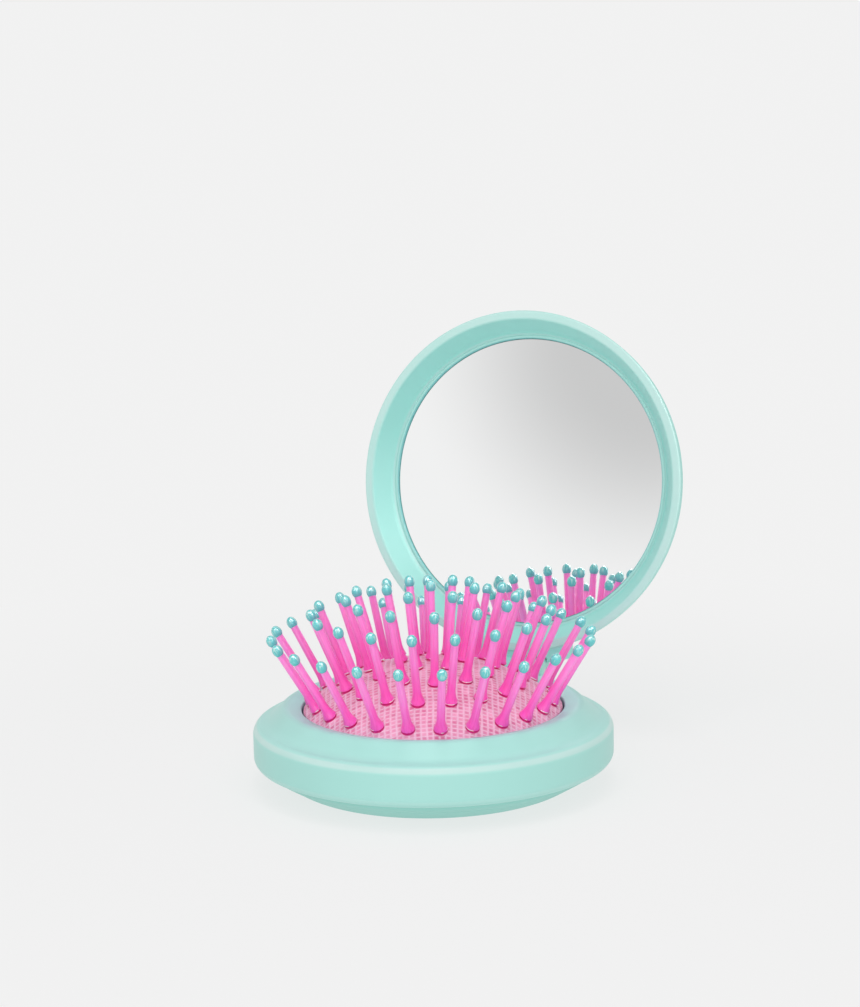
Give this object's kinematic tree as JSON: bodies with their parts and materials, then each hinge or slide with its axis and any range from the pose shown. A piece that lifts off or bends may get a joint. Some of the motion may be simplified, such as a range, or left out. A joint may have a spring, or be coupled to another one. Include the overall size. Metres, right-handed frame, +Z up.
{
  "type": "folding hairbrush with mirror",
  "caption": "Round compact hairbrush: a domed cushion of ball-tipped pins in a base ring, with a hinged lid that holds a round mirror.",
  "frame": {"origin": "centre of the foot plate's flat underside, on the ring's axis", "axes": "+Z up along the ring's axis, +Y towards the hinge, +X along the hinge axis"},
  "size_m": [0.072, 0.0953, 0.0888],
  "materials": {
    "soft_touch_plastic": "satin mint, soft-touch",
    "soft_skirt": "matt mint elastomer",
    "inner_plastic": "matt, as moulded",
    "pad_rubber": "matt pink with a fine woven texture",
    "pin_plastic": "glossy pink",
    "tip_plastic": "glossy teal bead",
    "pin_steel": "drawn wire",
    "mirror": "silvered glass",
    "foam": "adhesive foam"
  },
  "bodies": {
    "brush_head": {"foot_plate": "soft_touch_plastic", "plunger": "inner_plastic", "cushion_frame": "inner_plastic", "cushion": "pad_rubber", "pins_ring_1": "pin_plastic", "pins_ring_2": "pin_plastic", "pins_ring_3": "pin_plastic", "pins_ring_4": "pin_plastic", "pin_centre": "pin_plastic", "tips_ring_1": "tip_plastic", "tips_ring_2": "tip_plastic", "tips_ring_3": "tip_plastic", "tips_ring_4": "tip_plastic", "tip_centre": "tip_plastic"},
    "base": {"ring_shell": "soft_touch_plastic", "base_retainer": "soft_touch_plastic", "cup_skirt": "soft_skirt", "hinge_pin": "pin_steel"},
    "lid": {"lid_rim": "soft_touch_plastic", "lid_back": "soft_touch_plastic", "mirror_glass": "mirror", "mirror_pad": "foam"}
  },
  "joints": [
    {"name": "lid_hinge", "type": "hinge", "parent": "base", "child": "lid", "pos_m": [0, 0.03973, 0.01413], "axis": [1, 0, 0], "range_deg": [0, 99.8]},
    {"name": "base_slide", "type": "slide", "parent": "brush_head", "child": "base", "axis": [0, 0, 1], "range_m": [0, 0.015], "deforming": ["cup_skirt", "cushion", "pins_ring_1", "pins_ring_2", "pins_ring_3", "pins_ring_4", "pin_centre", "tips_ring_1", "tips_ring_2", "tips_ring_3", "tips_ring_4", "tip_centre"]}
  ],
  "couplings": [
    {"joint": "base_slide", "follows": "lid_hinge", "m_per_rad": 0.0086}
  ]
}
